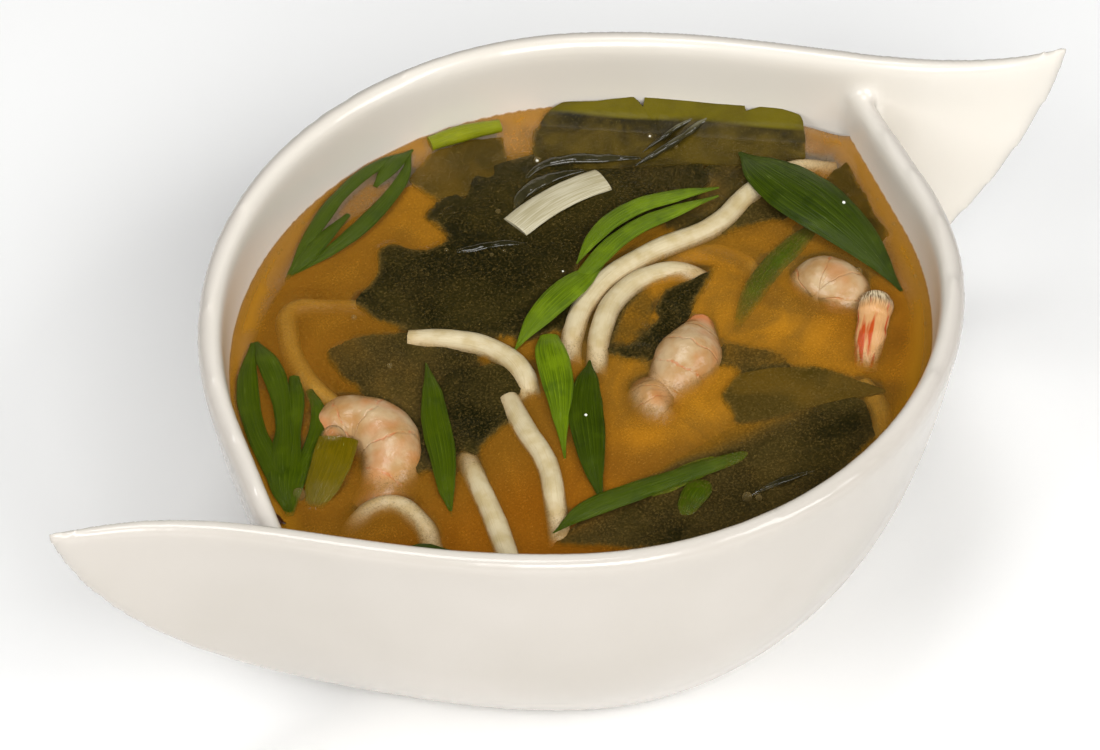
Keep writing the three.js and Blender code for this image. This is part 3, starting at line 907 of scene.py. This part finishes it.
OLIVE = onion_green("onion_olive", srgb(112, 94, 4), srgb(86, 76, 3), fade=9)
onion(OLIVE, "onion_fold", [(-49.6, 5, 1.0), (-52, 2.6, 1.3), (-55, 0, 1.1), (-58.5, -2.6, 0.6),
    (-61.5, -4.8, -0.3)], 6.8, 1.7, (0.95, 1, 0.95, 0.8, 0.45), node="onion_fold_left")
onion(ONION, "onion_sunk_a", [(53, -0.5, -1.0), (47, -2.2, -0.9), (39, -4.7, -0.9), (31.5, -8.6, -1.1),
    (24.7, -13.1, -1.6)], 4.2, 1.3, (0.5, 0.95, 1, 0.9, 0.25))
onion(ONION, "onion_sunk_b", [(-1.5, -39.8, -0.8), (-4, -40.6, -0.35), (-7.4, -42.2, -0.3),
    (-10.8, -44.6, -0.8)], 4.2, 1.3, (0.35, 1, 0.95, 0.5))
onion(BRIGHT_ONION, "onion_sunk_c", [(-12, -36.6, -0.4), (-4, -37, -0.9), (4, -38.4, -1.3),
    (14, -39.6, -1.9)], 5.2, 1.3, (0.3, 1, 0.9, 0.3))

leek = sweep("leek_slice", [(7.2, 30.9, 0), (12.4, 31.6, 0.5), (17.6, 32, 0.6), (22.8, 31.9, 0.5),
    (27.8, 31.5, 0)], 6.2, 1.5, shape="square", fine=6)
modify(leek, "BEVEL", width=0.25 * MM, segments=2, limit_method="ANGLE", angle_limit=math.radians(50))
rumple(leek, 0.25 * MM, 6 * MM)
serve(smooth(leek, 40), leek_white(), "leek", "leek_strip")


def shrimp(name, route, width, radii, *nodes, lumps=1.0):
    body = sweep(name, route, width, width * 0.95, radii=radii, fine=12)
    rumple(body, lumps * MM, 6 * MM / lumps)
    rumple(body, 0.3 * MM, 1.8 * MM)
    modify(body, "SUBSURF", levels=1)
    return serve(smooth(body, 70), FLESH, "shrimp", *nodes)


shrimp("shrimp_a", [(-50.5, 9.2, -3.6), (-47, 9.8, -2.8), (-43, 8, -2.6), (-41.4, 3, -2.6),
    (-43, -2.2, -3.4), (-47.5, -5.4, -4.8), (-53, -6.2, -6.4)], 12,
    (0.5, 0.88, 1.0, 1.04, 1.0, 0.85, 0.5), "shrimp_left")
shrimp("shrimp_b", [(21.5, -7.6, -1.8), (18.3, -10.4, -2.0), (14.4, -13, -2.4), (10.4, -15, -3.2),
    (7, -16.6, -4.4), (4.6, -17.8, -5.6)], 11.8, (0.4, 0.74, 1.06, 0.98, 0.8, 0.55), "shrimp_middle")
shrimp("shrimp_b_end", [(7.2, -13.4, -4.2), (4.6, -15, -3.4), (2.6, -17.6, -3.3), (2.2, -20.4, -3.6),
    (3.4, -22.6, -4.8)], 8.6, (0.4, 0.85, 1.0, 0.85, 0.5), lumps=1.7)
shrimp("shrimp_c", [(42.2, -11.6, -5.4), (44.4, -11.8, -3.8), (46.3, -14, -3.4), (45.8, -17, -4),
    (43.6, -19, -5.4)], 12.6, (0.72, 0.98, 1.04, 0.98, 0.7), "shrimp_right")

tail = sweep("shrimp_tail", [(49.8, -22.5, 0.2), (48, -24.6, 0.7), (45.5, -27, 0.3), (42, -30.3, -0.6),
    (38.2, -34, -2.2)], 6.4, 3.8, radii=(0.85, 1.0, 0.92, 0.85, 0.7), fine=10)
rumple(tail, 0.9 * MM, 2.5 * MM)
modify(tail, "SUBSURF", levels=1)
serve(smooth(tail, 60), shrimp_tail_shell(), "shrimp_tail", "shrimp_tail_right")


def back_climb(x, y):
    """How far the leaf by the back wall stands up toward its ragged edge."""
    outward = x * 0.66 + y * 0.75 - 54.5
    along = x * 0.75 - y * 0.66
    stand = 0.9 + 0.12 * math.sin(along * 0.22 + 0.8)
    return 2.1 * stand * ease((outward - 0.2) / 4.0)


def fold(name, route, width, thick, radii):
    """A narrow ridge where a leaf doubles over."""
    ridge = sweep(name, route, width, thick, radii=radii, fine=10)
    rumple(ridge, 0.5 * MM, 2.5 * MM)
    return smooth(ridge, 70)


back = [
    leaf("leaf_a", (44, 34), [(20, 41), (22, 46), (24.5, 49.6), (29, 51.2), (33, 51.6), (38.5, 47.6),
        (44.6, 44.4), (43.6, 40.4), (47.6, 44.8), (52.6, 38.2), (56, 36), (61.4, 32.4), (58.6, 27.6),
        (63.4, 28.2), (67, 22), (65, 18), (62, 14), (52, 19), (44, 25), (36, 30), (26, 36)], -0.1,
        lift=back_climb, ripple=0.4, size=9, rag=0.12, fine=240),
]
ridges = [
    fold("fold_a", [(35, 31, 0), (38.5, 31, 0.5), (42.5, 31, 0.9), (47, 31.5, 1.0), (53, 32, 1.2),
        (59, 29.5, 1.0)], 1.4, 1.3, (0.2, 0.8, 1, 1, 0.8, 0.2)),
    fold("fold_f", [(38, 33, 0.2), (43, 33.4, 0.9), (49, 33.8, 1.3), (56, 32.4, 1.2)], 0.9, 0.9,
        (0.2, 1, 0.9, 0.2)),
    fold("fold_b", [(15, 40, -0.1), (21, 41, 0.4), (24.5, 39.8, 0.5), (30.5, 36, 0.5), (37, 32, 0.1)],
        2.2, 1.1, (0.2, 0.8, 1, 1, 0.2)),
    fold("fold_c", [(9, 34, -0.2), (13.5, 37, 0.3), (20, 37.4, 0.3), (27, 35.6, -0.1)], 2.4, 1.0,
        (0.2, 1, 1, 0.2)),
    fold("fold_d", [(-6.5, 33, -0.3), (-3, 31, 0.2), (3, 28.5, 0.2), (8, 25, -0.3)], 1.6, 0.8,
        (0.2, 1, 0.9, 0.2)),
    fold("fold_e", [(0, -47, -0.5), (8, -48, 0.1), (16, -49.5, -0.5)], 1.4, 0.8, (0.2, 1, 0.2)),
]
serve(joined(back, "wakame_by_the_back_wall"), BACK_WAKAME, "wakame", "wakame_back")
serve(joined(ridges, "wakame_folds"), RIDGE_PAINTED_SHEEN, "wakame")

centre = [
    leaf("leaf_b", (16, 29), [(-5, 33), (-4, 41), (4, 42), (8, 46), (14, 47), (22, 45), (32, 40),
        (40, 33), (46, 26), (44, 20), (35, 16), (24, 18), (13, 18), (6, 12), (3, 17), (-1, 25)], -0.3,
        ripple=0.8, size=11, rag=0.5),
]
serve(joined(centre, "wakame_in_the_middle"), WAKAME, "wakame", "wakame_centre")

left = [
    leaf("leaf_c", (-9, 22), [(-17, 41), (-13, 41), (-12, 38), (-9, 35.4), (-4, 35.2), (3, 30), (6, 20),
        (7, 9), (-1.5, 4.8), (-7.5, 5.8), (-14, 12), (-23, 20), (-27, 26), (-28, 32), (-25, 34),
        (-20, 35.5)], -0.35, ripple=0.7, size=11, rag=0.5),
    leaf("leaf_d", (-26, -1), [(-24, 8), (-16, 5), (-13, 0), (-18, -5), (-24, -9), (-31, -11),
        (-34, -7), (-32, 2)], -0.4, ripple=0.6, size=8, rag=0.4),
    leaf("leaf_e", (-33, 8), [(-39, 26), (-31, 25), (-22, 19), (-17, 8), (-24, -2), (-34, -9),
        (-42, -9), (-40, 0), (-38, 9), (-40, 18)], -0.8, ripple=1.4, size=9, rag=0.8),
]
serve(joined(left, "wakame_on_the_left"), WAKAME, "wakame", "wakame_left")

wavy = [
    leaf("leaf_f", (20.5, -2), [(31, 1), (26, 1), (20, 2), (15.5, -1), (14, -7), (19, -6.6), (23, -3.6),
        (27, -1.6)], -0.3, ripple=0.8, size=4, rag=0.3),
    leaf("leaf_g", (9.5, -7), [(17, -2.6), (11, -4.6), (6, -5.6), (3, -4), (2.6, -8), (7, -10.4),
        (13, -9.4), (16.5, -7)], -0.4, ripple=0.8, size=4, rag=0.3),
    leaf("leaf_h", (10.5, 0.5), [(14, 5), (17.5, 4), (16.6, 0.5), (11, -4), (3, -4), (6, 0)], -1.6,
        ripple=0.9, size=4),
]
serve(joined(wavy, "wakame_wavy_scrap"), WAKAME, "wakame", "wakame_wavy")
serve(leaf("wakame_by_the_right_wall", (62.5, 0), [
    (61, 7), (67.4, 8.6), (65.6, 2), (63, -5), (62, -11), (59, -12), (59.4, -6), (59.6, 1),
], 0, ripple=0.8, size=4), THIN_WAKAME, "wakame", "wakame_right")
pointed = [
    leaf("leaf_i", (23, -30), [(12, -25), (18, -22.6), (24, -25), (31, -29.6), (37.4, -41.4),
        (32, -39.6), (24.6, -36.6), (18, -35), (11, -32)], -0.6, ripple=0.7, size=8, rag=0.2),
]
serve(joined(pointed, "wakame_pointed"), THIN_WAKAME, "wakame", "wakame_point")


def front_sink(x, y):
    """How far the front leaf's far edge sinks into the broth."""
    return -1.7 * ease((y + 39) / 8)


front = [
    leaf("leaf_j", (0, -45), [(-33, -36), (-24, -33.6), (-12, -32), (0, -31.4), (10, -31), (19, -31.4),
        (28, -35), (32.5, -41), (29, -48.6), (18, -53), (6, -56), (-12, -52), (-22, -45.5),
        (-30, -38.5)], -0.6, lift=front_sink, ripple=0.7, size=10, rag=0.5, fine=160),
]
serve(joined(front, "wakame_at_the_front"), WAKAME, "wakame", "wakame_front")

serve(leaf("wakame_sunk_olive", (8, 49), [
    (-1, 47), (-1.6, 53), (6, 56.4), (14, 55), (19.6, 52), (16, 45.6), (12.8, 41), (5, 43),
], -0.5, ripple=0.8, size=8, rag=0.3), THIN_WAKAME, "wakame")
serve(leaf("wakame_sunk_lobe", (0, 40), [
    (-5, 43.2), (0, 45.4), (3.4, 44.6), (5.4, 40), (4, 35.6), (-1.4, 35.6), (-4, 37.6),
], -0.5, ripple=0.8, size=5, rag=0.3), WAKAME, "wakame")
serve(leaf("wakame_sunk_dark", (23, -20), [
    (21, -14.4), (27.6, -22.6), (27, -27), (20, -24), (16.6, -18.6), (18, -16),
], -1.2, ripple=1.0, size=5, rag=0.4), WAKAME, "wakame")
serve(leaf("wakame_sunk_right", (44, 14), [
    (30, 15), (36, 22), (48, 24), (57, 18), (59, 8), (50, 4), (42, 6), (34, 10),
], -0.8, ripple=1.6, size=7, rag=0.8), WAKAME, "wakame")

scrap = fold("wakame_scrap", [(-69.4, -2.2, 1.4), (-69, -4, 1.1), (-68.2, -6, 0.9)], 1.5, 0.7,
    (0.3, 1, 0.3))
serve(scrap, DARK_SCRAP, "wakame")

# ------------------------------ the broth
BODY_HEIGHTS = [FLOOR + 1 * MM, FLOOR + 8 * MM, LEVEL - 22 * MM, LEVEL - 8 * MM]
GRID_WIDE, GRID_DEEP = 152, 130         # the surface's grid before it is cut to the bowl, in millimetres
CLEAR_OVER_FOOD = 3.3 * MM              # how deep a piece lies when the broth has mostly hidden it
CLEAR_BY_WALL = 1.3 * MM                # and how far from the wall the broth is as cloudy
LEAST_CLOUD = 0.55                      # the least cloudiness where no piece lies under the surface
WALL_RISE, WALL_REACH = 0.8, 0.9 * MM   # how the surface is drawn up the wall
FOOD_RISE, FOOD_REACH = 0.4, 0.7 * MM   # and up each piece
SKIN = 0.25 * MM
PLACES_ROUND = 12                       # places looked at about a spot, nearer and farther by turns
NEAR_SPOT, FAR_SPOT = 0.7 * MM, 1.5 * MM


def make_depth():
    """The opaque body of the broth, well under the surface."""
    body = plate(WALL * 1.3, BODY_HEIGHTS)
    named(body, "broth_body")
    return smooth(body, 40)


def tree_of(pieces):
    """All the given pieces' faces, for measuring distances to them."""
    spots, faces = [], []
    for piece in pieces:
        start = len(spots)
        spots += [v.co.copy() for v in piece.data.vertices]
        faces += [[start + i for i in face.vertices] for face in piece.data.polygons]
    return BVHTree.FromPolygons(spots, faces)


def open_share(pieces, spot):
    """The share of the ring of places about a spot on the surface that have no piece under them."""
    down = Vector((0, 0, -1))
    missed = 0
    for i in range(PLACES_ROUND):
        away = NEAR_SPOT if i % 2 else FAR_SPOT
        turn = math.radians(360 // PLACES_ROUND * i)
        place = spot + Vector((away * math.cos(turn), away * math.sin(turn), 5 * MM))
        missed += pieces.ray_cast(place, down, 12 * MM)[0] is None
    return ease(missed / PLACES_ROUND)


def pull_rim(skin, outline):
    """The outermost points of the surface are moved onto its outline, so its edge runs smooth."""
    uses = {}
    for face in skin.data.polygons:
        for key in face.edge_keys:
            uses[key] = uses.get(key, 0) + 1
    rim = {index for key, count in uses.items() if count == 1 for index in key}
    spans = list(zip(outline, outline[1:] + outline[:1]))
    for index in rim:
        vertex = skin.data.vertices[index]
        places = []
        for a, b in spans:
            share = (vertex.co.xy - a).dot(b - a) / max((b - a).length_squared, 1e-12)
            places.append(a.lerp(b, min(max(share, 0.0), 1.0)))
        nearest = min(places, key=lambda place: (place - vertex.co.xy).length)
        vertex.co.x, vertex.co.y = nearest


def make_surface(food, vessel):
    """The broth's top, drawn up a little by the wall and each piece, and cloudier away from them."""
    deselect()
    bpy.ops.mesh.primitive_grid_add(x_subdivisions=GRID_WIDE * 5 // 4,
        y_subdivisions=GRID_DEEP * 5 // 4, size=1)
    skin = named(bpy.context.object, "broth_skin")
    bpy.ops.transform.resize(value=(GRID_WIDE * MM, GRID_DEEP * MM, 1))
    bpy.ops.transform.translate(value=(0, 0, LEVEL))
    settle(skin)
    edge = [p.xy for p in enclosed(WALL * 0.2, LEVEL, 90)]
    only(skin)
    bpy.ops.object.mode_set(mode="EDIT")
    bpy.ops.mesh.select_all(action="DESELECT")
    bpy.ops.object.mode_set(mode="OBJECT")
    for vertex in skin.data.vertices:
        vertex.select = not inside(vertex.co.xy, edge)
    bpy.ops.object.mode_set(mode="EDIT")
    bpy.ops.mesh.delete(type="VERT")
    bpy.ops.object.mode_set(mode="OBJECT")
    pull_rim(skin, edge)

    afloat = tree_of([p for p in food if max(v.co.z for v in p.data.vertices) > LEVEL + 0.1 * MM])
    everything = tree_of(food)
    wall_only = tree_of([vessel])
    cloudiness = skin.data.attributes.new("cloudiness", "FLOAT", "POINT")
    off_wall = skin.data.attributes.new("off_wall", "FLOAT", "POINT")
    for vertex in skin.data.vertices:
        gap = everything.find_nearest(vertex.co)[3]
        wall_gap = wall_only.find_nearest(vertex.co)[3]
        over_food = 1 - math.exp(-((gap / CLEAR_OVER_FOOD) ** 1.3))
        over_wall = 1 - math.exp(-((wall_gap / CLEAR_BY_WALL) ** 1.2))
        beside = LEAST_CLOUD * open_share(everything, vertex.co)
        cloudiness.data[vertex.index].value = max(min(over_food, over_wall), beside)
        off_wall.data[vertex.index].value = ease((wall_gap / MM - 1.5) / 4)
        rise = WALL_RISE * math.exp(-wall_gap / WALL_REACH)
        rise = max(rise, FOOD_RISE * math.exp(-afloat.find_nearest(vertex.co)[3] / FOOD_REACH))
        vertex.co.z += rise * MM
    modify(skin, "SOLIDIFY", thickness=SKIN, offset=-1)
    only(skin)
    bpy.ops.object.shade_smooth()
    return skin


def inside(spot, outline):
    crossings = 0
    for a, b in zip(outline, outline[1:] + outline[:1]):
        if (a.y > spot.y) != (b.y > spot.y):
            if spot.x < a.x + (spot.y - a.y) / (b.y - a.y) * (b.x - a.x):
                crossings += 1
    return crossings % 2 == 1


food = SERVED[1:]
serve(make_surface(food, bowl), broth_surface(), "broth", "broth")
serve(make_depth(), broth_depth(), "broth")


# ------------------------------ bubbles
WALL_BUBBLES = 46


def bubbles():
    """Small bubbles that sit on the surface beside the pieces and along the wall."""
    draw = random.Random(SEED)
    spots = [(-49.9, 6.2, 2.3), (-62.2, -1.2, 1.2), (59.5, 6, 0.7), (20.8, 42.8, 0.7), (-12, -11, 0.6),
             (13, -10.5, 0.5), (1, -47.5, 0.9), (2.6, -48.8, 0.6), (51.2, -15.4, 0.8), (-30, 29, 0.5),
             (-15, 8, 0.5), (7, 36, 0.5), (41.8, 35.7, 0.6), (-31.6, 15.3, 0.5), (44, 30.5, 0.5),
             (-6.5, 33.4, 0.4), (-4, 31.6, 0.35), (-0.5, 27.5, 0.4), (2, 27, 0.35)]
    for _ in range(WALL_BUBBLES):
        u = draw.uniform(0.06, 0.74)
        outer, inward = on_route(u)
        spot = (outer * drawn_in(LEVEL) + inward * (WALL + draw.uniform(0.2, 1.8) * MM)) / MM
        if draw.random() < 0.5:
            spot = -spot
        spots.append((spot.x, spot.y, draw.uniform(0.18, 0.45)))
    deselect()
    bpy.ops.mesh.primitive_uv_sphere_add(segments=20, ring_count=12, radius=1)
    model = bpy.context.object
    made = []
    for x, y, size in spots:
        one = model.copy()
        one.data = model.data.copy()
        bpy.context.collection.objects.link(one)
        for vertex in one.data.vertices:
            vertex.co = vertex.co * size * MM + at(x, y, 0.25 * size)
        made.append(one)
    bpy.data.objects.remove(model)
    cluster = joined(made, "surface_bubbles")
    only(cluster)
    bpy.ops.object.shade_smooth()
    return cluster


serve(bubbles(), bubble_film(), "broth")


def drops():
    """Drops of broth that lie on top of the onion and the wakame and catch the light; their near-white
    colour is a painted glint.
    """
    top = tree_of(food)
    made = []
    spots = [(58.6, -1.6, 0.32), (-11.2, -16.4, 0.28), (20.8, 42.8, 0.3), (41.8, 35.7, 0.24),
        (7.6, 16.4, 0.2)]
    for x, y, size in spots:
        landed = top.ray_cast(at(x, y, 14), Vector((0, 0, -1)), 20 * MM)[0]
        if landed is None:
            continue
        deselect()
        bpy.ops.mesh.primitive_uv_sphere_add(segments=20, ring_count=12, radius=size * MM,
            location=landed)
        drop = settle(bpy.context.object)
        only(drop)
        bpy.ops.object.shade_smooth()
        made.append(drop)
    return joined(made, "drops_on_top")


def drop_painted_glint():
    f = Finish("drop_painted_glint", roughness=0.05, ior=1.5)
    # painted highlight: near-white colour in place of the broth's own
    f.colour(f.blend(f.spread(f.noise(1), 0.3, 0.7), srgb(246, 246, 238), srgb(228, 228, 214)))
    return f.material


serve(drops(), drop_painted_glint(), "broth")
